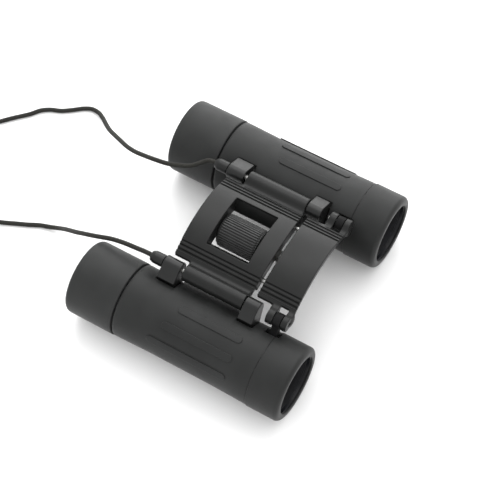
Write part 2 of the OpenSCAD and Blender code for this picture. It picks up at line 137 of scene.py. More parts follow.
def add_mesh(name, points, faces, smooth=True):
    """A mesh object from points in millimetres."""
    mesh = bpy.data.meshes.new(name)
    points = np.asarray(points, float) * MM
    if isinstance(faces, np.ndarray) and faces.shape[1] == 4:
        mesh.vertices.add(len(points))
        mesh.vertices.foreach_set("co", points.astype(np.float32).ravel())
        mesh.loops.add(faces.size)
        mesh.loops.foreach_set("vertex_index", faces.astype(np.int32).ravel())
        mesh.polygons.add(len(faces))
        mesh.polygons.foreach_set("loop_start", np.arange(0, faces.size, 4, dtype=np.int32))
        mesh.update(calc_edges=True)
        mesh.validate()
    else:
        mesh.from_pydata(points.tolist(), [], [list(f) for f in faces])
    mesh.polygons.foreach_set("use_smooth", [smooth] * len(mesh.polygons))
    piece = bpy.data.objects.new(name, mesh)
    scene.collection.objects.link(piece)
    return piece


def grid_faces(rows, columns, close_rows=False, close_columns=True):
    """Quads of a grid of rows x columns points, joined end to end where asked."""
    i = np.arange(rows if close_rows else rows - 1)
    j = np.arange(columns if close_columns else columns - 1)
    i, j = (a.ravel() for a in np.meshgrid(i, j, indexing="ij"))
    a, b = (i + 1) % rows, (j + 1) % columns
    return np.stack([i * columns + j, i * columns + b, a * columns + b, a * columns + j], 1)


def smooth_line(points, step):
    """Points every step along a centripetal Catmull-Rom curve through the given points."""
    p = np.asarray(points, float)
    p = np.vstack([2 * p[0] - p[1], p, 2 * p[-1] - p[-2]])
    knots = np.concatenate([[0], np.cumsum(np.linalg.norm(np.diff(p, axis=0), axis=1) ** 0.5)])
    line = []
    for i in range(1, len(p) - 2):
        t0, t1, t2, t3 = knots[i - 1:i + 3]
        m1 = (t2 - t1) * ((p[i] - p[i - 1]) / (t1 - t0) - (p[i + 1] - p[i - 1]) / (t2 - t0)
                          + (p[i + 1] - p[i]) / (t2 - t1))
        m2 = (t2 - t1) * ((p[i + 1] - p[i]) / (t2 - t1) - (p[i + 2] - p[i]) / (t3 - t1)
                          + (p[i + 2] - p[i + 1]) / (t3 - t2))
        s = np.linspace(0, 1, 24, endpoint=False)[:, None]
        line.append((2 * s**3 - 3 * s**2 + 1) * p[i] + (s**3 - 2 * s**2 + s) * m1
                    + (3 * s**2 - 2 * s**3) * p[i + 1] + (s**3 - s**2) * m2)
    line = np.vstack(line + [p[-2:-1]])
    run = np.concatenate([[0], np.cumsum(np.linalg.norm(np.diff(line, axis=0), axis=1))])
    at = np.linspace(0, run[-1], int(round(run[-1] / step)) + 1)
    return np.stack([np.interp(at, run, line[:, k]) for k in range(3)], 1)


# ---- strap: one braided neck cord, its unseen length wound up ------------------------------

CORD_D = 0.0018
BRAID_STRANDS = 5
BRAID_LAY = 2.5
BRAID_AROUND = 20
BRAID_STEP = 0.24
BRAID_CORE = 0.94       # share of the radius between the strands
BRAID_RELIEF = 0.15     # and how much the strands add to it
BRAID_FLATNESS = 0.89
FLOOR_Z = 0.00095
RIGHT_LEAD = [
    (0.0238, -0.0236, 0.0314), (0.0238, -0.0242, 0.0314), (0.0238, -0.0275, 0.0313),
    (0.0238, -0.0310, 0.0306), (0.0237, -0.0355, 0.0296), (0.0238, -0.0395, 0.0287),
    (0.0243, -0.0435, 0.0280), (0.0252, -0.0473, 0.0273), (0.0256, -0.0514, 0.0256),
    (0.0254, -0.0555, 0.0230), (0.0248, -0.0595, 0.0196), (0.0236, -0.0635, 0.0154),
    (0.0222, -0.0675, 0.0108), (0.0210, -0.0710, 0.0066), (0.0204, -0.0745, 0.0032),
    (0.0208, -0.0785, 0.0013), (0.0220, -0.0825, FLOOR_Z), (0.0242, -0.0870, FLOOR_Z),
    (0.0264, -0.0920, FLOOR_Z), (0.0288, -0.0975, FLOOR_Z), (0.0306, -0.1035, FLOOR_Z),
    (0.0312, -0.1100, FLOOR_Z), (0.0304, -0.1170, FLOOR_Z), (0.0286, -0.1235, 0.0011)]
LEFT_LEAD = [
    (-0.0238, -0.0236, 0.0314), (-0.0238, -0.0242, 0.0314), (-0.0232, -0.0274, 0.0312),
    (-0.0212, -0.0298, 0.0304), (-0.0186, -0.0328, 0.0296), (-0.0168, -0.0370, 0.0290),
    (-0.0154, -0.0420, 0.0285), (-0.0145, -0.0473, 0.0286), (-0.0152, -0.0525, 0.0262),
    (-0.0162, -0.0580, 0.0236), (-0.0182, -0.0635, 0.0204), (-0.0208, -0.0685, 0.0172),
    (-0.0236, -0.0735, 0.0136), (-0.0266, -0.0785, 0.0098), (-0.0300, -0.0830, 0.0062),
    (-0.0334, -0.0872, 0.0032), (-0.0358, -0.0912, 0.0014), (-0.0362, -0.0948, FLOOR_Z),
    (-0.0346, -0.0982, FLOOR_Z), (-0.0316, -0.1020, FLOOR_Z), (-0.0289, -0.1060, FLOOR_Z),
    (-0.0272, -0.1102, FLOOR_Z), (-0.0250, -0.1134, FLOOR_Z), (-0.0210, -0.1166, FLOOR_Z),
    (-0.0160, -0.1216, FLOOR_Z), (-0.0105, -0.1266, FLOOR_Z), (-0.0050, -0.1305, 0.0013),
    (-0.0005, -0.1332, 0.0029), (0.0036, -0.1352, 0.0052)]
COIL_CENTRE = (0.016, -0.128)
COIL_MID_R = 0.010
COIL_COLUMNS = 3
COIL_LIFT = 0.0013
COIL_TURNS = 11.375
COIL_POINTS_PER_TURN = 24
CROSS_FROM = 0.62      # share of a turn after which the cord moves over to its next place
CROSS_TO = 0.98


def coil_route():
    """The coil's turns, clockwise from its +X side: side by side in a layer, then the next layer."""
    points = []
    steps = int(COIL_TURNS * COIL_POINTS_PER_TURN)
    for i in range(steps + 1):
        turn, part = divmod(COIL_TURNS * i / steps, 1)
        here, there = place_in_coil(int(turn)), place_in_coil(int(turn) + 1)
        share = min(max((part - CROSS_FROM) / (CROSS_TO - CROSS_FROM), 0), 1)
        share = share * share * (3 - 2 * share)
        r, z = ((1 - share) * a + share * b for a, b in zip(here, there))
        angle = -2 * math.pi * part
        points.append((COIL_CENTRE[0] + r * math.cos(angle), COIL_CENTRE[1] + r * math.sin(angle), z))
    return points


def place_in_coil(turn):
    """Radius and height of the coil's n-th turn: layers run inwards and outwards in turn."""
    layer, column = divmod(turn, COIL_COLUMNS)
    column = column if layer % 2 == 0 else COIL_COLUMNS - 1 - column
    return COIL_MID_R + CORD_D * ((COIL_COLUMNS - 1) / 2 - column), COIL_LIFT + CORD_D * layer


def braided_cord(name, route):
    """A flat braid: strands running both ways round a slightly flattened tube."""
    around = BRAID_AROUND
    line = smooth_line(np.array(route) / MM, BRAID_STEP)
    run = np.arange(len(line)) * BRAID_STEP
    ahead = np.gradient(line, axis=0)
    ahead /= np.linalg.norm(ahead, axis=1)[:, None]
    side = np.cross(ahead, [0, 0, 1.0])
    side /= np.linalg.norm(side, axis=1)[:, None]
    over = np.cross(side, ahead)
    angle = 2 * np.pi * np.arange(around) / around
    forward = 2 * np.pi * BRAID_STRANDS * run[:, None] / (BRAID_LAY * 4)
    one = np.sin(BRAID_STRANDS * angle[None] - forward)
    two = np.sin(BRAID_STRANDS * angle[None] + forward)
    relief = np.maximum(np.abs(one), np.abs(two)) ** 0.8
    radius = CORD_D / MM / 2 * (BRAID_CORE + BRAID_RELIEF * relief)
    points = (line[:, None] + side[:, None] * (radius * np.cos(angle))[..., None]
              + over[:, None] * (BRAID_FLATNESS * radius * np.sin(angle))[..., None])
    faces = grid_faces(len(line), around)[:, ::-1]
    points = np.vstack([points.reshape(-1, 3), line[:1], line[-1:]])
    piece = add_mesh(name, points, faces)
    uv = piece.data.uv_layers.new(name="braid")
    corner = np.zeros(len(piece.data.loops), np.int32)
    piece.data.loops.foreach_get("vertex_index", corner)
    column = corner % around
    wrap = (np.arange(len(corner)) // 4) % around == around - 1
    u = np.where(wrap & (column == 0), around, column) / around
    uv.data.foreach_set("uv", np.stack([u, corner // around * BRAID_STEP], 1).astype(np.float32).ravel())
    return piece, line


strap_route = RIGHT_LEAD + coil_route() + LEFT_LEAD[::-1]
strap, strap_line = braided_cord("neck_strap", strap_route)
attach(strap, "root")
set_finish(strap, "strap_cord")
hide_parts("strap_lead_right", "strap_lead_left", "strap_coil")

TIE_Y = COIL_CENTRE[1] / MM - COIL_MID_R / MM


# ---- signed-distance building blocks, in millimetres ---------------------------------------


def both(a, b, r=0.05):
    """Intersection with a rounded edge."""
    return np.minimum(np.maximum(a, b), -r) + np.hypot(np.maximum(a + r, 0), np.maximum(b + r, 0))


def join(a, b, r=0.05):
    """Union with a filleted corner."""
    return -both(-a, -b, r)


def cut(a, b, r=0.05):
    """a without b, with a rounded edge."""
    return both(a, -b, r)


def slab(t, low, high):
    return np.abs(t - (low + high) / 2) - (high - low) / 2


def round_bar(x, z, at_x, at_z, radius):
    return np.hypot(x - at_x, z - at_z) - radius


def outline(x, z, corners):
    """Signed distance to a polygon in X and Z."""
    corners = np.asarray(corners, float)
    nearest = np.full(np.broadcast(x, z).shape, 1e9)
    odd = np.zeros(nearest.shape, bool)
    for a, b in zip(corners, np.roll(corners, -1, axis=0)):
        ex, ez = b - a
        t = np.clip(((x - a[0]) * ex + (z - a[1]) * ez) / (ex * ex + ez * ez), 0, 1)
        nearest = np.minimum(nearest, (x - a[0] - t * ex) ** 2 + (z - a[1] - t * ez) ** 2)
        crosses = (a[1] > z) != (b[1] > z)
        odd ^= crosses & (x < ex * (z - a[1]) / (ez if abs(ez) > 1e-9 else 1e-9) + a[0])
    return np.where(odd, -1, 1) * np.sqrt(nearest)


def spaced(low, high, coarse, fine_spans, fine):
    """Positions from low to high, coarse apart, and fine apart inside the fine spans."""
    out = [low]
    while out[-1] < high:
        inside = any(a - coarse <= out[-1] <= b for a, b in fine_spans)
        out.append(out[-1] + (fine if inside else coarse))
    return np.array(out)


EDGES = [(a, b) for a in range(8) for b in range(a + 1, 8) if bin(a ^ b).count("1") == 1]


def corner_offset(i):
    return np.array([i >> 2 & 1, i >> 1 & 1, i & 1])


def surface(field, xs, ys, zs):
    """Points and quads of the field's zero surface on a grid, drawn onto the surface itself."""
    value = field(xs[:, None, None], ys[None, :, None], zs[None, None, :]).astype(np.float32)
    inside = value < 0
    n = np.array(value.shape) - 1
    filled = sum(inside[a:a + n[0], b:b + n[1], c:c + n[2]].astype(np.int8)
                 for a in (0, 1) for b in (0, 1) for c in (0, 1))
    mixed = (filled > 0) & (filled < 8)
    index = np.full(mixed.shape, -1, np.int64)
    cells = np.argwhere(mixed)
    index[mixed] = np.arange(len(cells))
    total, hits = np.zeros((len(cells), 3)), np.zeros(len(cells))
    corner = [value[tuple((cells + corner_offset(i)).T)] for i in range(8)]
    for a, b in EDGES:
        crossing = (corner[a] < 0) != (corner[b] < 0)
        t = corner[a][crossing] / (corner[a][crossing] - corner[b][crossing])
        total[crossing] += corner_offset(a) + t[:, None] * (corner_offset(b) - corner_offset(a))
        hits[crossing] += 1
    part = total / hits[:, None]
    low = np.stack([axis[cells[:, k]] for k, axis in enumerate((xs, ys, zs))], 1)
    high = np.stack([axis[cells[:, k] + 1] for k, axis in enumerate((xs, ys, zs))], 1)
    points = low + part * (high - low)
    faces = []
    for k in range(3):
        u, v = (k + 1) % 3, (k + 2) % 3
        first = [slice(None)] * 3
        second = [slice(None)] * 3
        first[k], second[k] = slice(None, -1), slice(1, None)
        here, there = inside[tuple(first)], inside[tuple(second)]
        at = np.argwhere(here != there)
        at = at[(at[:, u] > 0) & (at[:, v] > 0) & (at[:, u] < n[u]) & (at[:, v] < n[v])]
        du, dv = np.eye(3, dtype=int)[u], np.eye(3, dtype=int)[v]
        quad = np.stack([index[tuple((at - d).T)] for d in (0 * du, du, du + dv, dv)], 1)
        leaving = here[tuple(at.T)]
        faces.append(np.where(leaving[:, None], quad, quad[:, ::-1]))
    return settle(field, points, (high - low).min(1)), np.vstack(faces)


def settle(field, points, reach):
    """Moves points onto the field's zero surface, no further than they may go."""
    h = 0.02
    for _ in range(3):
        x, y, z = points.T
        here = field(x, y, z)
        slope = np.stack([field(x + h, y, z) - field(x - h, y, z),
                          field(x, y + h, z) - field(x, y - h, z),
                          field(x, y, z + h) - field(x, y, z - h)], 1) / (2 * h)
        move = -here[:, None] * slope / np.maximum((slope ** 2).sum(1), 0.2)[:, None]
        size = np.linalg.norm(move, axis=1)
        points = points + move * np.minimum(1, 0.45 * reach / np.maximum(size, 1e-9))[:, None]
    return points


def mirrored(points, faces):
    return points * [-1, 1, 1], faces[:, ::-1]


def piece_on(name, points, faces, body, slot, *replaced):
    piece = add_mesh(name, points, faces)
    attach(piece, body)
    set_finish(piece, slot)
    if replaced:
        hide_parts(*replaced)
    return piece


# ---- bridge plates -------------------------------------------------------------------------

ARCH_TOP = plate_high[2]
ARCH_R = 36
UNDER_TOP = 36.5
UNDER_R = 41
PLATE_X = 19.6
GROOVES_X = (14.4, 15.95, 17.5)
GROOVE_W = 0.85
GROOVE_DEPTH = 0.6
TUBE_R = 3.45
TUBE_Y = (-9, 17.3)
KNUCKLE_R = 3.05
WINDOW_Y = (-6.9, 11.4)
WINDOW_LOW = (8.2, 31.3)
WINDOW_HIGH = (11.5, 36)
WALL = 2.2
BOSS_R = 3.8
SKIRT_X = 16.6
SKIRT_THICK = 1.3
SKIRT_DEPTH = 4.3
ROD_AT = (12.9, 32.6)
ROD_BOSS_R = 2
ROD_BOSS_RISE = 2.4
ROD_FIXED_R = 0.93
ROD_SLIDE_R = 0.96
ROD_FIXED_Y = 6
SCREW_TAIL_R = 1.6
SCREW_FRONT_R = 2.5
SCREW_THREAD_R = 2.7
NUT_SEAT_R = 3.03
NUT_SEAT_Y = 29
NUT_BOSS_Y = 33.6
SCREW_THREAD_Y = 33
ROD_SLIDE_Y = 33.4
ROD_BOSS_Y = (5, 34.2)
PIN_R = (pin_high[0] - pin_low[0]) / 2
LINK_PIN_R = 0.8
MAIN_Y = (-16.5, 18.0)
FRONT_Y0 = 19.9
FRONT_Y1 = 34.7
MAIN_BOW = 0.9
FRONT_BOWS = (0.85, 0.8)
FORK_Y = (27.3, 36.2)
ARM_Y = (30.5, 33.4)
ARM_GAP = 0.35
FORK_SLOT_IN = 4.8
FORK_SLOT_Z = (-5, 6)
EDGE = 0.22
SOFT_EDGE = 0.3
BORE_EDGE = 0.15


def arched(x, z, rounding=0.3):
    """The plate's arched thickness, and the depth below its top face."""
    top = np.hypot(x, z - ARCH_TOP + ARCH_R) - ARCH_R
    under = UNDER_R - np.hypot(x, z - UNDER_TOP + UNDER_R)
    return both(top, under, rounding), top


def grooved(plate, ax, top):
    """Three soft grooves beside each other along both sides of a plate."""
    for x in GROOVES_X:
        channel = both(np.abs(ax - x) - GROOVE_W / 2, -GROOVE_DEPTH - top, 0.3)
        plate = cut(plate, channel, 0.1)
    return plate


def window_side(ax, z):
    """Distance outside the wheel window's sloping side walls."""
    slope = (WINDOW_HIGH[0] - WINDOW_LOW[0]) / (WINDOW_HIGH[1] - WINDOW_LOW[1])
    half = WINDOW_LOW[0] + slope * np.clip(z - WINDOW_LOW[1], 0, WINDOW_HIGH[1] - WINDOW_LOW[1])
    sloping = (z > WINDOW_LOW[1]) & (z < WINDOW_HIGH[1])
    return (ax - half) * np.where(sloping, 1 / math.hypot(1, slope), 1)


def rod_bosses(ax, y, z, low, high):
    boss = np.minimum(round_bar(ax, z, *ROD_AT, ROD_BOSS_R),
                      np.maximum(np.abs(ax - ROD_AT[0]) - ROD_BOSS_R,
                                 slab(z, ROD_AT[1], ROD_AT[1] + ROD_BOSS_RISE)))
    return both(boss, slab(y, low, high), 0.3)


def main_bridge(x, y, z):
    ax = np.abs(x)
    thick, top = arched(x, z)
    crown = 1 - (ax / PLATE_X) ** 2
    ends = np.maximum(MAIN_Y[0] - y, y - MAIN_Y[1] - MAIN_BOW * crown)
    plate = both(thick, both(ax - PLATE_X, ends, 0.5), EDGE)
    web = both(thick, both(ax - HINGE_X + 2, slab(y, *TUBE_Y), SOFT_EDGE), EDGE)
    tube = both(round_bar(ax, z, HINGE_X, HINGE_Z, TUBE_R), slab(y, *TUBE_Y), SOFT_EDGE)
    solid = join(np.minimum(plate, web), tube, 2.0)
    side = window_side(ax, z)
    along = slab(y, *WINDOW_Y)
    hull = both(both(side - 1.6, along - WALL, 0.8), np.maximum(top + 0.5, WINDOW_LOW[1] - z), SOFT_EDGE)
    solid = np.minimum(join(solid, hull, 0.4), rod_bosses(ax, y, z, ROD_BOSS_Y[0], MAIN_Y[1]))
    collar = np.minimum(round_bar(x, z, 0, SCREW_Z, BOSS_R),
                        np.maximum(ax - BOSS_R, slab(z, SCREW_Z, SCREW_Z + 5)))
    walls = np.abs(along - WALL / 2) - WALL / 2
    solid = np.minimum(solid, both(collar, walls, SOFT_EDGE))
    behind_end = slab(y - MAIN_BOW * crown, MAIN_Y[1] - SKIRT_THICK, MAIN_Y[1])
    skirt = both(both(ax - SKIRT_X, behind_end, SOFT_EDGE), slab(-top, 0.5, SKIRT_DEPTH), SOFT_EDGE)
    solid = np.minimum(solid, skirt)
    solid = grooved(solid, ax, top)
    solid = cut(solid, both(side, along, 0.4), EDGE)
    solid = cut(solid, np.where(y < 0, round_bar(x, z, 0, SCREW_Z, SCREW_TAIL_R),
                                round_bar(x, z, 0, SCREW_Z, SCREW_FRONT_R)), BORE_EDGE)
    solid = cut(solid, round_bar(ax, z, HINGE_X, HINGE_Z, PIN_R + 0.03), BORE_EDGE)
    return cut(solid, both(round_bar(ax, z, *ROD_AT, ROD_FIXED_R), ROD_FIXED_Y - y), 0.1)


def front_bridge(x, y, z):
    ax = np.abs(x)
    thick, top = arched(x, z)
    share = (ax / PLATE_X) ** 2
    ends = np.maximum(FRONT_Y0 + FRONT_BOWS[0] * (1 - share) - y,
                      y - FRONT_Y1 - FRONT_BOWS[1] * share)
    plate = both(thick, both(ax - PLATE_X, ends, 0.5), EDGE)
    web = both(thick, both(ax - HINGE_X + 2, slab(y, *FORK_Y), SOFT_EDGE), EDGE)
    ears = both(round_bar(ax, z, HINGE_X, HINGE_Z, KNUCKLE_R), slab(y, *FORK_Y), SOFT_EDGE)
    solid = join(np.minimum(plate, web), ears, 2.4)
    solid = np.minimum(solid, rod_bosses(ax, y, z, front_low[1] + 0.2, ROD_BOSS_Y[1]))
    boss = np.minimum(round_bar(x, z, 0, SCREW_Z, BOSS_R),
                      np.maximum(ax - BOSS_R, slab(z, SCREW_Z, 37)))
    solid = np.minimum(solid, both(boss, slab(y, front_low[1] + 0.5, NUT_BOSS_Y), 0.4))
    solid = grooved(solid, ax, top)
    slot = both(np.maximum(HINGE_X - FORK_SLOT_IN - ax, slab(z - HINGE_Z, *FORK_SLOT_Z)),
                slab(y, ARM_Y[0] - ARM_GAP, ARM_Y[1] + ARM_GAP), 0.25)
    solid = cut(solid, slot, 0.25)
    solid = cut(solid, round_bar(ax, z, HINGE_X, HINGE_Z, LINK_PIN_R + 0.03), 0.12)
    solid = cut(solid, both(round_bar(ax, z, *ROD_AT, ROD_SLIDE_R), y - ROD_SLIDE_Y), 0.1)
    solid = cut(solid, both(round_bar(x, z, 0, SCREW_Z, NUT_SEAT_R), y - NUT_SEAT_Y), 0.1)
    return cut(solid, both(round_bar(x, z, 0, SCREW_Z, SCREW_THREAD_R), y - SCREW_THREAD_Y), 0.1)


# Grids are fine where a groove or an edge crosses them.
BRIDGE_STEP = 0.34
BRIDGE_FINE = 0.16
bridge_reach = plate_high[0] + 0.5
groove_band = (GROOVES_X[0] - 0.8, GROOVES_X[-1] + 0.8)
bridge_x = spaced(-bridge_reach, bridge_reach, BRIDGE_STEP,
                  [(-groove_band[1], -groove_band[0]), groove_band], BRIDGE_FINE)
bridge_z = spaced(25.5, ARCH_TOP + 0.6, BRIDGE_STEP, [(33, 37)], BRIDGE_FINE)
main_y = spaced(MAIN_Y[0] - 0.5, 19.6, BRIDGE_STEP,
                [(-17, -16), (-9.6, -8.4), (-7.5, -6.4), (10.9, 11.9), (16.8, 19.2)], BRIDGE_FINE)
front_y = spaced(FRONT_Y0 - 0.5, 36.9, BRIDGE_STEP, [(19.6, 21), (29.6, 30.8), (33.2, 36.4)], BRIDGE_FINE)
piece_on("bridge_plate", *surface(main_bridge, bridge_x, main_y, bridge_z), "root",
         "bridge_plastic", "main_bridge")
piece_on("focus_bridge", *surface(front_bridge, bridge_x, front_y, bridge_z), "front_bridge",
         "bridge_plastic", "front_bridge")

# ---- barrels, drawn about the right barrel's own axis --------------------------------------

LINK = (HINGE_X - BARREL_X, HINGE_Z - BARREL_Z)
LINK_LEN = math.hypot(*LINK)
LUG_SPANS = ((-18, -10.5), (17.6, 23.8))
SLOT_Y = (28.4, 34.8)
ARM_W = 3
LUG_END = 0.8
TUBE_WALL = (12.7, 14)
NECK = (11, 13)
RING_END_Y = 46.6
NECK_REAR_Y = -38
BORE_STEP_Y = -22
SLEEVE_END_Y = 40
OPENING_R = 12.05
BAND_ROUND = 1.9
SEAM_GAP = 0.3
TIP = (6.7, -0.6)
LUG_TOE = 1.9
LUG_FOOT = ((6.4, -4.6), (2.6, -8.4), (1, -9.6))
LUG_FLANK = -72
LUG_ROOM = ((2, -12), (-0.4, -10.4), (-6, -4), (-6, 4))
LUG_GAP = 0.45
OUTER_GAP = {"right": 0.08, "left": 0.9}    # each sleeve sits a little to one side of its lugs
WAIST = 0.3
WAIST_Y = (-8, 16)
SWELL = 0.4
SWELL_INSET = 2
SWELL_ANGLE = 155
SWELL_Y = (-9.9, 17)
RIBS = ((89, -3.5), (58, -6.5), (27, -10.5))
RIB_END = 24.2
RIB_HALF = 1.5
RIB_RISE = 0.45
RIB_ROOT = 0.8
RIB_EDGE = 0.16
FINE = 0.23
COARSE = 0.6


def lug_outline():
    """The lug's section from the knuckle down into the tube wall, about the hinge axis."""
    tip = np.array(TIP)
    length = np.hypot(*tip)
    up = math.atan2(-tip[1], -tip[0]) - math.asin(KNUCKLE_R / length)
    tangent = tip + math.sqrt(length ** 2 - KNUCKLE_R ** 2) * np.array([math.cos(up), math.sin(up)])
    edge = tip + LUG_TOE * np.array([-math.sin(up), math.cos(up)])
    flank = math.radians(LUG_FLANK)
    return [tangent, tip, edge, *LUG_FOOT,
            (KNUCKLE_R * math.sin(flank), -KNUCKLE_R * math.cos(flank)), (-1, 0)]


LUG_OUTLINE = lug_outline()


def spans_from(y):
    return np.minimum(*(slab(y, *span) for span in LUG_SPANS))


def arm_slot(x, z):
    """Distance from the wedge of space that the focusing arm passes through."""
    ux, uz = LINK[0] / LINK_LEN, LINK[1] / LINK_LEN
    return np.maximum(np.abs(x * uz - z * ux) - ARM_W / 2 - ARM_GAP, 10 - x * ux - z * uz)


def barrel(x, y, z):
    r = np.hypot(x, z)
    tube = both(r - TUBE_WALL[1], slab(y, SEAM_Y + SEAM_GAP, RING_END_Y), 0.2)
    neck = both(r - NECK[1], slab(y, NECK_REAR_Y, SEAM_Y + 1), 0.2)
    foot = outline(x - LINK[0], z - LINK[1], LUG_OUTLINE)
    knuckle = round_bar(x, z, *LINK, KNUCKLE_R)
    lugs = both(join(foot, knuckle, 0.1), spans_from(y), 0.28)
    solid = join(np.minimum(tube, neck), lugs, 0.25)
    solid = cut(solid, np.where(y > BORE_STEP_Y, r - TUBE_WALL[0], r - NECK[0]), 0.15)
    solid = cut(solid, both(arm_slot(x, z), slab(y, *SLOT_Y)), 0.1)
    bore = both(round_bar(x, z, *LINK, PIN_R + 0.06), y - LUG_SPANS[1][1] + LUG_END)
    return cut(solid, bore, 0.15)


def sleeve_radius(y):
    """The sleeve's radius, a little slimmer in the middle."""
    rear = np.clip((y - SEAM_Y) / (WAIST_Y[0] - SEAM_Y), 0, 1)
    front = np.clip((BAND_Y - y) / (BAND_Y - WAIST_Y[1]), 0, 1)
    share = np.minimum(rear, front)
    return SLEEVE_R - WAIST * share * share * (3 - 2 * share)


def armour(x, y, z, outer_gap):
    r = np.hypot(x, z)
    sleeve = both(r - sleeve_radius(y), np.maximum(SEAM_Y + SEAM_GAP - y, y - SLEEVE_END_Y), 0.35)
    band = both(r - BAND_R, BAND_Y - y, 0.14)
    turn = math.radians(SWELL_ANGLE)
    shift = SWELL + SWELL_INSET
    swelling = both(round_bar(x, z, shift * math.cos(turn), shift * math.sin(turn),
                              SLEEVE_R - SWELL_INSET), slab(y, *SWELL_Y), 0.3)
    outer = np.minimum(join(sleeve, swelling, 0.5), band)
    outer = cut(outer, both(np.abs(y - BAND_Y + 0.08) - 0.08, SLEEVE_R - 0.25 - r, 0.04), 0.05)
    outer = both(outer, y - FRONT_Y, BAND_ROUND)
    solid = cut(outer, r - OPENING_R, 0.5)
    solid = cut(solid, np.maximum(r - TUBE_WALL[1] - 0.01, y - RING_END_Y), 0.05)
    clearance = [(7.0 + outer_gap, 1), (6.5 + outer_gap, -6), *LUG_ROOM]
    opening = both(outline(x - LINK[0], z - LINK[1], clearance), spans_from(y) - LUG_GAP, 0.2)
    solid = cut(solid, opening, 0.18)
    return cut(solid, both(arm_slot(x, z), slab(y, *SLOT_Y), 0.2), 0.18)


fine_y = [(s[0] - 0.8, s[1] + 0.8) for s in LUG_SPANS]
barrel_mesh = surface(
    barrel,
    spaced(-17.4, 14.6, COARSE, [(-17.4, -6.5)], FINE),
    spaced(-38.6, 47.4, 2 * COARSE, fine_y + [(27.8, 37.8)], FINE),
    spaced(-14.6, 19.6, COARSE, [(8.5, 19.6)], FINE))


def armour_mesh(side):
    fine_spans = [(-19, -17.6), (-10.8, -9.4), (16.9, 17.8), (23.9, 24.7), (28, 28.8), (33.2, 35.4),
                  (45, 48)]
    return surface(
        lambda x, y, z: armour(x, y, z, OUTER_GAP[side]),
        spaced(-16.2, 16.2, COARSE, [(-13, -4)], 1.2 * FINE),
        spaced(-26.6, 48.2, 1.3 * COARSE, fine_spans, 0.9 * FINE),
        spaced(-16.2, 16.4, COARSE, [(5, 14.5)], 1.2 * FINE))


def grip_rib(at, start):
    """One raised oblong, drawn flat and then bent round the sleeve at its angle."""
    mid, half = (start + RIB_END) / 2, (RIB_END - start) / 2 - RIB_HALF
    crest = SLEEVE_R - WAIST + RIB_RISE

    def flat(across, y, r):
        oblong = np.hypot(across, np.maximum(np.abs(y - mid) - half, 0)) - RIB_HALF
        return both(oblong, slab(r, SLEEVE_R - RIB_ROOT, crest), RIB_EDGE)

    points, faces = surface(
        flat,
        spaced(-RIB_HALF - 0.3, RIB_HALF + 0.3, 0.4, [(-1.6, -1.2), (1.2, 1.6)], 0.1),
        spaced(start - 0.4, RIB_END + 0.4, 1.2, [(start, start + 2), (RIB_END - 2, RIB_END)], 0.15),
        spaced(SLEEVE_R - 1.2, crest + 0.3, 0.3, [(crest - 0.3, crest)], 0.08))
    across, y, r = points.T
    angle = math.radians(at) - across / SLEEVE_R
    return np.stack([r * np.cos(angle), y, r * np.sin(angle)], 1), faces


def together(meshes):
    """Several closed shells as one mesh."""
    starts = np.cumsum([0] + [len(points) for points, _ in meshes])
    return (np.vstack([points for points, _ in meshes]),
            np.vstack([faces + start for (_, faces), start in zip(meshes, starts)]))


def on_side(mesh, side):
    points, faces = mesh
    points = points + [BARREL_X, 0, BARREL_Z]
    return (points, faces) if side == "right" else mirrored(points, faces)


for side in SIDES:
    piece_on(f"barrel_shell_{side}", *on_side(barrel_mesh, side), f"{side}_barrel", "lug_plastic",
             f"barrel_{side}")
    piece_on(f"rubber_armour_{side}", *on_side(armour_mesh(side), side), f"{side}_barrel",
             "armour_rubber", f"armour_{side}")
    piece_on(f"grip_ribs_{side}", *on_side(together([grip_rib(*rib) for rib in RIBS]), side),
             f"{side}_barrel", "armour_rubber", f"armour_{side}")

# ---- turned pieces -------------------------------------------------------------------------


def rounded(corners, radii, count=6):
    """A closed outline whose corners are turned into arcs of the given reach."""
    p = np.asarray(corners, float)
    out = []
    for i, reach in enumerate(radii):
        before, here, after = p[i - 1], p[i], p[(i + 1) % len(p)]
        if reach <= 0:
            out.append(here)
            continue
        a = here + (before - here) * min(reach / np.linalg.norm(before - here), 0.49)
        b = here + (after - here) * min(reach / np.linalg.norm(after - here), 0.49)
        for t in np.linspace(0, 1, count):
            out.append((1 - t) ** 2 * a + 2 * t * (1 - t) * here + t ** 2 * b)
    return np.array(out)


def outward(points, faces):
    """Faces turned so that the closed mesh's normals point out."""
    a, b, c, d = (points[faces[:, k]] for k in range(4))
    volume = (np.cross(b - a, c - a) * a).sum() + (np.cross(c - a, d - a) * a).sum()
    return (points, faces) if volume > 0 else (points, faces[:, ::-1])


def turned(profile, centre, columns=160, ripple=None):
    """A closed [radius, y] profile turned round a Y axis; ripple changes a point's radius."""
    angle = 2 * np.pi * np.arange(columns) / columns
    r, y = profile.T[:, :, None] + 0 * angle
    if ripple:
        r = r + ripple(angle, r, y)
    points = np.stack([centre[0] + r * np.sin(angle), y, centre[1] + r * np.cos(angle)], 2)
    return outward(points.reshape(-1, 3), grid_faces(len(profile), columns, close_rows=True))


def along(profile, gap):
    """The profile with its long edges cut into steps no longer than gap."""
    out = []
    for a, b in zip(profile, np.roll(profile, -1, axis=0)):
        count = max(1, int(np.linalg.norm(b - a) / gap))
        out += [a + (b - a) * k / count for k in range(count)]
    return np.array(out)


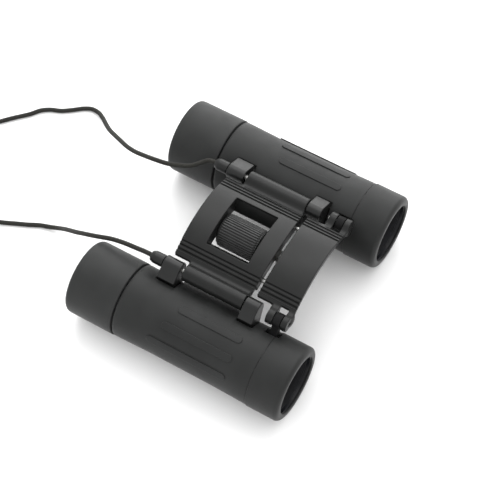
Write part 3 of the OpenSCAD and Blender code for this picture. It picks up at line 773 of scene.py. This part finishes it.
cup_seam = cup_high[1]
CUP_BORE_R = 13.72
CUP_INSIDE = ((11.9, 0), (10.6, 1), (11.2, 2), (12.6, 3.4), (CUP_BORE_R, 4.6))     # radius, depth
eyecup_profile = along(rounded(
    [(CUP_BORE_R, cup_seam), (CUP_R, cup_seam), (CUP_R, REAR_Y)]
    + [(radius, REAR_Y + depth) for radius, depth in CUP_INSIDE],
    [0.2, 0.35, 1.8, 1.0, 0.7, 0.4, 0.5, 0.4]), 1.2)
cap_mouth = cap_low[1]
cap_seat = cap_high[1]
CAP_R = (cap_high[0] - cap_low[0]) / 2
CAP_MOUTH_R = 1.8
CAP_HOLE_R = 0.9
CAP_TAPER = 1.4
AXIS_R = 0.05
PIN_END = pin_low[1]
cap_profile = rounded(
    [(CAP_R, cap_seat), (CAP_R, cap_mouth + CAP_TAPER), (CAP_MOUTH_R, cap_mouth),
     (CAP_HOLE_R + 0.05, cap_mouth), (CAP_HOLE_R, cap_mouth + CAP_TAPER),
     (AXIS_R, cap_mouth + CAP_TAPER + 0.1), (AXIS_R, PIN_END - 0.05),
     (PIN_R + 0.02, PIN_END - 0.05), (PIN_R + 0.02, cap_seat)],
    [0.3, 0.7, 0.4, 0.25, 0.2, 0, 0, 0.1, 0.1])
ring_low, ring_high = extent("front_ring_right")
RING_MOUTH_R = 12
RING_THROAT_R = 11.3
THREAD_FROM = 1.2
THREAD_DEPTH = 0.07
THREAD_PITCH = 0.55
THROAT_SHINE = (3.0, 0.6)     # depths behind the mouth between which the gloss fades in


def ring_threads(_, r, y):
    """Shallow lines turned into the throat, deep inside the opening."""
    deep = np.clip((ring_high[1] - THREAD_FROM - y) / 0.6, 0, 1)
    return np.where(r < RING_MOUTH_R + 0.05, THREAD_DEPTH * deep * np.sin(2 * np.pi * y / THREAD_PITCH), 0)


ring_profile = along(rounded(
    [(TUBE_WALL[0] - 0.01, ring_low[1]), (TUBE_WALL[0] - 0.01, ring_high[1]), (RING_MOUTH_R, ring_high[1]),
     (RING_THROAT_R + 0.1, ring_low[1] + 1.2), (RING_THROAT_R, ring_low[1])],
    [0.1, 0.1, 0.2, 0.3, 0.15]), 0.12)
WHEEL_RIBS = 40
WHEEL_CORE_R = 5.5
WHEEL_ROOT_R = 6.1
WHEEL_RIB_SHARPNESS = 9
WHEEL_BEVEL = 0.7
WHEEL_R = (wheel_high[2] - wheel_low[2]) / 2


def wheel_ribs(angle, r, y):
    """Ribs along the wheel's rim, running out into bevels at both ends."""
    wave = np.cos(WHEEL_RIBS * angle)
    rib = 1 / (1 + np.exp(-WHEEL_RIB_SHARPNESS * (wave + 0.2)))
    to_end = np.minimum(y - wheel_low[1], wheel_high[1] - y)
    full = np.clip((to_end - 0.25) / WHEEL_BEVEL, 0, 1)
    return np.where(r > WHEEL_ROOT_R - 0.25, rib * full * (WHEEL_R - WHEEL_ROOT_R), 0)


wheel_profile = along(rounded(
    [(WHEEL_CORE_R + 0.01, wheel_low[1]), (WHEEL_ROOT_R, wheel_low[1]), (WHEEL_ROOT_R, wheel_high[1]),
     (WHEEL_CORE_R + 0.01, wheel_high[1])], [0.1, 0.3, 0.3, 0.1]), 0.3)
piece_on("wheel_grip", *turned(wheel_profile, (0, SCREW_Z), 12 * WHEEL_RIBS, wheel_ribs),
         "focus_wheel", "wheel_rubber", "focus_wheel_grip")
for side, sign in SIDES.items():
    cup = turned(eyecup_profile, (0, 0), 192)
    piece_on(f"rolled_eyecup_{side}", *on_side(cup, side),
             "diopter" if side == "right" else "left_barrel", "eyecup_rubber", f"eyecup_{side}")
    piece_on(f"throat_ring_{side}", *on_side(turned(ring_profile, (0, 0), 144, ring_threads), side),
             f"{side}_barrel", "inner_plastic", f"front_ring_{side}")
    piece_on(f"cord_cap_{side}", *turned(cap_profile, (sign * HINGE_X, HINGE_Z), 64), "root",
             "cap_plastic", f"strap_cap_{side}")

# ---- tie round the stored coil -------------------------------------------------------------

TIE_WIDTH = 4.6
TIE_LIFT = 0.24
TIE_THICK = 0.42
TIE_HALF = (3.15, 3.95)
TIE_START = -0.31        # both in turns round the band
TIE_TURNS = 1.17
TIE_SQUARENESS = 0.42
TIE_OVERLAP = 0.46


def tie_loop():
    """A soft band wound once round the turns, its free end lying over its start."""
    t = np.linspace(0, 1, 150)
    angle = 2 * np.pi * (TIE_START + TIE_TURNS * t)
    lift = TIE_OVERLAP * np.clip((t - 0.80) / 0.08, 0, 1)
    c, s = np.cos(angle), np.sin(angle)
    across = (TIE_HALF[0] + lift) * np.sign(c) * np.abs(c) ** TIE_SQUARENESS
    height = (TIE_HALF[1] + lift * (s > -0.3)) * np.sign(s) * np.abs(s) ** TIE_SQUARENESS
    line = np.stack([across, height], 1)
    ahead = np.gradient(line, axis=0)
    ahead /= np.linalg.norm(ahead, axis=1)[:, None]
    normal = np.stack([ahead[:, 1], -ahead[:, 0]], 1)
    section = rounded([(-TIE_WIDTH / 2, -TIE_THICK / 2), (TIE_WIDTH / 2, -TIE_THICK / 2),
                       (TIE_WIDTH / 2, TIE_THICK / 2), (-TIE_WIDTH / 2, TIE_THICK / 2)],
                      [0.16] * 4, 4)
    section = along(section, 0.35)
    yz = line[:, None] + section[None, :, 1:2] * normal[:, None]
    x = np.broadcast_to(section[None, :, :1], yz.shape[:2] + (1,))
    return np.concatenate([x, yz], 2), len(section)


tie_grid, tie_around = tie_loop()
tie_points = tie_grid.reshape(-1, 3) + [COIL_CENTRE[0] / MM, TIE_Y, TIE_HALF[1] + TIE_LIFT]
tie_faces = grid_faces(len(tie_grid), tie_around)
tie = add_mesh("coil_tie", tie_points, outward(tie_points, tie_faces)[1])
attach(tie, "root")
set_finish(tie, "strap_tie")
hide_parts("strap_tie")

# ---- materials -----------------------------------------------------------------------------


class Material:
    """A node material whose colour, roughness and bump come from procedural patterns."""

    def __init__(self, name):
        self.material = bpy.data.materials.new(name)
        self.material.use_nodes = True
        self.tree = self.material.node_tree
        self.shader = self.tree.nodes["Principled BSDF"]
        self.place = self.node("ShaderNodeTexCoord").outputs["Object"]

    def node(self, kind, **settings):
        made = self.tree.nodes.new(kind)
        for key, value in settings.items():
            setattr(made, key, value)
        return made

    def link(self, a, b):
        self.tree.links.new(a, b)

    def set(self, **values):
        for key, value in values.items():
            self.shader.inputs[key.replace("_", " ")].default_value = value

    def noise(self, size, detail=3.0, stretch=(1, 1, 1), roughness=0.5):
        """A noise whose features are about size millimetres across."""
        mapping = self.node("ShaderNodeMapping")
        mapping.inputs["Scale"].default_value = stretch
        self.link(self.place, mapping.inputs["Vector"])
        made = self.node("ShaderNodeTexNoise")
        made.inputs["Scale"].default_value = 1 / (size * MM)
        made.inputs["Detail"].default_value = detail
        made.inputs["Roughness"].default_value = roughness
        self.link(mapping.outputs["Vector"], made.inputs["Vector"])
        return made.outputs["Fac"]

    def ramp(self, value, *stops):
        """A colour ramp with (position, grey or colour) stops."""
        made = self.node("ShaderNodeValToRGB")
        while len(made.color_ramp.elements) < len(stops):
            made.color_ramp.elements.new(0.5)
        for element, (position, shade) in zip(made.color_ramp.elements, stops):
            element.position = position
            element.color = (*shade, 1) if isinstance(shade, tuple) else (shade,) * 3 + (1,)
        self.link(value, made.inputs["Fac"])
        return made.outputs["Color"]

    def mix(self, share, a, b, blend="MIX"):
        made = self.node("ShaderNodeMix", data_type="RGBA", blend_type=blend)
        self.link(share, made.inputs["Factor"])
        self.link(a, made.inputs["A"])
        self.link(b, made.inputs["B"])
        return made.outputs["Result"]

    def spread(self, value, low, high, from_low=0.3, from_high=0.7):
        made = self.node("ShaderNodeMapRange")
        made.inputs["From Min"].default_value = from_low
        made.inputs["From Max"].default_value = from_high
        made.inputs["To Min"].default_value = low
        made.inputs["To Max"].default_value = high
        self.link(value, made.inputs["Value"])
        return made.outputs["Result"]

    def edges(self, low=0.52, high=0.6):
        """White along convex edges."""
        point = self.node("ShaderNodeNewGeometry").outputs["Pointiness"]
        return self.ramp(point, (low, 0.0), (high, 1.0))

    def bump(self, height, distance, under=None):
        made = self.node("ShaderNodeBump")
        made.inputs["Distance"].default_value = distance * MM
        made.inputs["Strength"].default_value = 1.0
        self.link(height, made.inputs["Height"])
        if under:
            self.link(under, made.inputs["Normal"])
        return made.outputs["Normal"]

    def finish(self, colour=None, roughness=None, normal=None):
        for socket, value in (("Base Color", colour), ("Roughness", roughness), ("Normal", normal)):
            if value is not None:
                self.link(value, self.shader.inputs[socket])
        return self.material


def moulded(name, dark, light, rough, grain, depth, dust_and_highlight_tone, patch=9.0, specular=0.27, sheen=0.03,
            rubbed_and_highlit_edges=True):
    """Moulded rubber or plastic: a fine grain, soft patches, dusty specks, and convex edges lightened
    partly by rubbing and partly as a painted highlight.
    """
    m = Material(name)
    m.set(IOR=1.46, Specular_IOR_Level=specular, Sheen_Weight=sheen, Sheen_Roughness=0.35)
    patches = m.ramp(m.noise(patch, 4.0), (0.34, dark), (0.68, light))
    specks = m.ramp(m.noise(0.32, 2.0), (0.76, 0.0), (0.84, 0.35))
    dust_and_edge_highlight = m.ramp(m.noise(3.0, 2.0), (0.3, tuple(dust_and_highlight_tone)), (0.8, tuple(min(1, 1.5 * w) for w in dust_and_highlight_tone)))
    colour = m.mix(specks, patches, dust_and_edge_highlight)
    # Convex edges lighten towards the dusty tone: partly rubbing, partly a painted edge highlight.
    if rubbed_and_highlit_edges:
        rubbing_and_edge_highlight = m.mix(m.noise(2.2, 3.0), m.edges(0.58, 0.72), m.edges(0.62, 0.78), "MULTIPLY")
        colour = m.mix(rubbing_and_edge_highlight, colour, dust_and_edge_highlight)
    roughness = m.spread(m.noise(4.5, 4.0), *rough)
    fine = m.bump(m.noise(grain, 3.0, roughness=0.62), depth)
    waves = m.bump(m.noise(5.5, 1.0), 0.03, fine)
    return m.finish(colour, roughness, waves)


def throat(name):
    """Satin black ring, glossier at the mouth than further in."""
    m = Material(name)
    m.set(IOR=1.46, Specular_IOR_Level=0.2)
    apart = m.node("ShaderNodeSeparateXYZ")
    m.link(m.place, apart.inputs["Vector"])
    reach = [(ring_high[1] - depth) * MM for depth in THROAT_SHINE]
    roughness = m.spread(apart.outputs["Y"], 0.42, 0.20, *reach)
    colour = m.ramp(m.noise(3.0, 3.0), (0.35, (0.0030, 0.0033, 0.0042)), (0.7, (0.0060, 0.0066, 0.0085)))
    return m.finish(colour, roughness, m.bump(m.noise(0.3), 0.003))


def turned_metal(name, dark, light, rough, line):
    """Turned metal: fine rings along Y, with a little staining."""
    m = Material(name)
    m.set(Metallic=1.0)
    rings = m.noise(line, 2.0, (0.02, 1, 0.02))
    stain = m.ramp(m.noise(1.6, 4.0), (0.35, dark), (0.62, light))
    return m.finish(stain, m.spread(rings, *rough), m.bump(rings, 0.012))


def lens_glass(name, tint, coat, transmission):
    """Glass with a thin coating whose colour drifts across it."""
    m = Material(name)
    m.set(IOR=1.52, Specular_IOR_Level=0.25, Transmission_Weight=transmission, Coat_Weight=0.12,
          Coat_Roughness=0.03, Coat_IOR=1.6)
    colour = m.ramp(m.noise(14, 1.0), (0.35, tint), (0.65, coat))
    smears = m.spread(m.noise(2.5, 4.0), 0.01, 0.07, 0.45, 0.75)
    return m.finish(colour, smears, m.bump(m.noise(6.0, 1.0), 0.004))


def braid(name):
    """Braided nylon: olive black strands crossing each other, darkest in the gaps between them as painted
    shade, with pale flecks.
    """
    m = Material(name)
    m.set(IOR=1.5, Specular_IOR_Level=0.25, Sheen_Weight=0.04, Sheen_Roughness=0.5)
    uv = m.node("ShaderNodeUVMap", uv_map="braid").outputs["UV"]
    apart = m.node("ShaderNodeSeparateXYZ")
    m.link(uv, apart.inputs["Vector"])
    lobes = 2 * BRAID_STRANDS
    waves = []
    for turn in (1, -1):
        along_it = m.node("ShaderNodeMath", operation="MULTIPLY")
        along_it.inputs[1].default_value = turn * lobes / (BRAID_LAY * 4)
        m.link(apart.outputs["Y"], along_it.inputs[0])
        around = m.node("ShaderNodeMath", operation="MULTIPLY_ADD")
        around.inputs[1].default_value = lobes
        m.link(apart.outputs["X"], around.inputs[0])
        m.link(along_it.outputs[0], around.inputs[2])
        wave = m.node("ShaderNodeMath", operation="PINGPONG")
        wave.inputs[1].default_value = 0.5
        m.link(around.outputs[0], wave.inputs[0])
        waves.append(wave.outputs[0])
    over = m.node("ShaderNodeMath", operation="MAXIMUM")
    m.link(waves[0], over.inputs[0])
    m.link(waves[1], over.inputs[1])
    # The colour follows the weave's height and is darkest down in the gaps between strands: painted shade
    # in the weave.
    strand_and_gap_shade = m.ramp(over.outputs[0], (0.12, (0.003, 0.003, 0.0025)), (0.32, (0.010, 0.0097, 0.008)),
                    (0.5, (0.022, 0.021, 0.0165)))
    fleck = m.ramp(m.noise(0.45, 2.0), (0.66, 0.0), (0.76, 0.6))
    pale = m.ramp(m.noise(1.6, 2.0), (0.35, (0.06, 0.057, 0.045)), (0.75, (0.14, 0.13, 0.11)))
    colour = m.mix(fleck, strand_and_gap_shade, pale)
    weave = m.bump(over.outputs[0], 0.09)
    fibres = m.bump(m.noise(0.12, 2.0), 0.02, weave)
    return m.finish(colour, m.spread(m.noise(0.4, 2.0), 0.62, 0.85), fibres)


def hook_and_loop(name):
    """Woven tape with a fuzzy loop face."""
    m = Material(name)
    m.set(Specular_IOR_Level=0.25, Sheen_Weight=0.5, Sheen_Roughness=0.4)
    loops = m.node("ShaderNodeTexVoronoi")
    loops.inputs["Scale"].default_value = 1 / (0.32 * MM)
    m.link(m.place, loops.inputs["Vector"])
    colour = m.ramp(loops.outputs["Distance"], (0.15, (0.030, 0.030, 0.031)), (0.6, (0.008, 0.008, 0.009)))
    fuzz = m.bump(loops.outputs["Distance"], 0.10)
    return m.finish(colour, m.spread(m.noise(0.8), 0.75, 0.95), m.bump(m.noise(0.09), 0.02, fuzz))


RUBBER_DARK = (0.0085, 0.0090, 0.0088)
RUBBER_LIGHT = (0.0130, 0.0137, 0.0134)
DUST = (0.070, 0.072, 0.070)
looks = {
    "armour_rubber": moulded("armour_rubber", RUBBER_DARK, RUBBER_LIGHT, (0.50, 0.60), 0.16, 0.022, DUST,
                             sheen=0.09, rubbed_and_highlit_edges=False),
    "eyecup_rubber": moulded("eyecup_rubber", (0.0125, 0.0132, 0.0129), (0.0180, 0.0188, 0.0185),
                             (0.52, 0.62), 0.17, 0.020, DUST, sheen=0.09, rubbed_and_highlit_edges=False),
    "bridge_plastic": moulded("bridge_plastic", (0.0042, 0.0045, 0.0043), (0.0070, 0.0074, 0.0071),
                              (0.32, 0.42), 0.22, 0.026, (0.060, 0.060, 0.058), specular=0.26, sheen=0.01),
    "lug_plastic": moulded("lug_plastic", (0.0042, 0.0045, 0.0044), (0.0070, 0.0074, 0.0072),
                           (0.28, 0.38), 0.24, 0.020, (0.060, 0.061, 0.060), specular=0.33, sheen=0.01),
    "cap_plastic": moulded("cap_plastic", (0.0050, 0.0053, 0.0052), (0.0080, 0.0084, 0.0082),
                           (0.30, 0.40), 0.20, 0.015, (0.060, 0.061, 0.060), 4.0, sheen=0.01),
    "ring_plastic": moulded("ring_plastic", (0.0110, 0.0112, 0.0112), (0.0160, 0.0162, 0.0162),
                            (0.40, 0.52), 0.20, 0.020, (0.045, 0.045, 0.045)),
    "inner_plastic": moulded("inner_plastic", (0.0040, 0.0040, 0.0042), (0.0065, 0.0065, 0.0068),
                             (0.50, 0.65), 0.20, 0.008, (0.012, 0.012, 0.012), specular=0.08, sheen=0),
    "throat_satin": throat("throat_satin"),
    "wheel_rubber": moulded("wheel_rubber", (0.0130, 0.0134, 0.0132), (0.0190, 0.0195, 0.0192),
                            (0.42, 0.54), 0.15, 0.012, (0.055, 0.055, 0.054), 3.0, specular=0.5),
    "steel": turned_metal("steel", (0.26, 0.26, 0.25), (0.40, 0.40, 0.39), (0.26, 0.42), 0.12),
    "brass": turned_metal("brass", (0.48, 0.34, 0.13), (0.66, 0.48, 0.20), (0.25, 0.42), 0.14),
    "coated_glass": lens_glass("coated_glass", (0.55, 0.62, 0.70), (0.62, 0.55, 0.70), 0.92),
    "prism_glass": lens_glass("prism_glass", (0.80, 0.88, 0.86), (0.86, 0.90, 0.92), 0.95),
    "strap_cord": braid("strap_cord"),
    "strap_tie": hook_and_loop("strap_tie"),
}

CAD_LOOKS = {
    "steel": ["hinge_pin_right", "hinge_pin_left", "link_pin_right", "link_pin_left", "guide_rods",
              "focus_screw", "screw_clip"],
    "brass": ["focus_nut"],
    "inner_plastic": ["focus_wheel_hub"],
    "ring_plastic": ["diopter_ring_right", "eyepiece_ring_left"],
}
SIDE_LOOKS = {
    "inner_plastic": ["front_ring", "prism_cage", "field_stop", "objective_cell",
                      "objective_retainer", "eyepiece_cell", "eyepiece_retainer"],
    "coated_glass": ["objective_crown", "objective_flint", "field_lens", "eye_lens"],
    "prism_glass": ["half_penta_prism", "roof_prism"],
}
for look, names in SIDE_LOOKS.items():
    CAD_LOOKS.setdefault(look, []).extend(f"{name}_{side}" for name in names for side in SIDES)
for look, names in CAD_LOOKS.items():
    for name in names:
        nodes[name].data.materials.clear()
        nodes[name].data.materials.append(looks[look])
for piece in scene.objects:
    if piece.type == "MESH" and "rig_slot" in piece:
        look = "throat_satin" if piece.name.startswith("throat_ring") else piece["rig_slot"]
        piece.data.materials.append(looks[look])

# ---- floor, light and backdrop -------------------------------------------------------------


def floor_material():
    m = Material("pale_floor")
    m.set(Specular_IOR_Level=0.2)
    colour = m.ramp(m.noise(180, 1.0), (0.3, 0.86), (0.7, 0.88))
    return m.finish(colour, m.spread(m.noise(60, 1.0), 0.85, 0.95))


FLOOR_HALF = 1500
FLOOR_DROP = 0.03
floor = add_mesh("floor", [(-FLOOR_HALF, -FLOOR_HALF, -FLOOR_DROP), (FLOOR_HALF, -FLOOR_HALF, -FLOOR_DROP),
                           (FLOOR_HALF, FLOOR_HALF, -FLOOR_DROP), (-FLOOR_HALF, FLOOR_HALF, -FLOOR_DROP)],
                 [(0, 1, 2, 3)], smooth=False)
floor.data.materials.append(floor_material())


def area_light(name, azimuth, elevation, distance, size, power):
    """A square soft box pointing at the middle of the object, placed by direction."""
    light = bpy.data.objects.new(name, bpy.data.lights.new(name, "AREA"))
    a, e = math.radians(azimuth), math.radians(elevation)
    back = Vector((math.sin(a) * math.cos(e), -math.cos(a) * math.cos(e), math.sin(e)))
    light.location = CAMERA_TARGET + back * distance
    light.rotation_mode = "QUATERNION"
    light.rotation_quaternion = (-back).to_track_quat("-Z", "Y")
    light.data.size = size
    light.data.energy = power
    scene.collection.objects.link(light)


def studio_world(azimuth, elevation, dim, bright):
    """A white tent, brightest in one direction and dim on the opposite side."""
    a, e = math.radians(azimuth), math.radians(elevation)
    world = bpy.data.worlds.new("studio")
    world.use_nodes = True
    tree = world.node_tree
    place = tree.nodes.new("ShaderNodeTexCoord")
    toward = tree.nodes.new("ShaderNodeVectorMath")
    toward.operation = "DOT_PRODUCT"
    toward.inputs[1].default_value = (math.sin(a) * math.cos(e), -math.cos(a) * math.cos(e), math.sin(e))
    tree.links.new(place.outputs["Generated"], toward.inputs[0])
    share = tree.nodes.new("ShaderNodeMapRange")
    share.inputs["From Min"].default_value = -0.2
    share.inputs["To Min"].default_value = dim
    share.inputs["To Max"].default_value = bright
    tree.links.new(toward.outputs["Value"], share.inputs["Value"])
    background = tree.nodes["Background"]
    background.inputs["Color"].default_value = (1, 1, 1, 1)
    tree.links.new(share.outputs["Result"], background.inputs["Strength"])
    scene.world = world


area_light("key_softbox", azimuth=300, elevation=55, distance=1.1, size=0.85, power=5.5)
area_light("top_softbox", azimuth=230, elevation=80, distance=1.3, size=1.2, power=3.0)
area_light("rim_softbox", azimuth=286, elevation=14, distance=1.0, size=0.7, power=5.0)
studio_world(azimuth=300, elevation=40, dim=1.3, bright=1.5)
scene.view_settings.view_transform = "Standard"
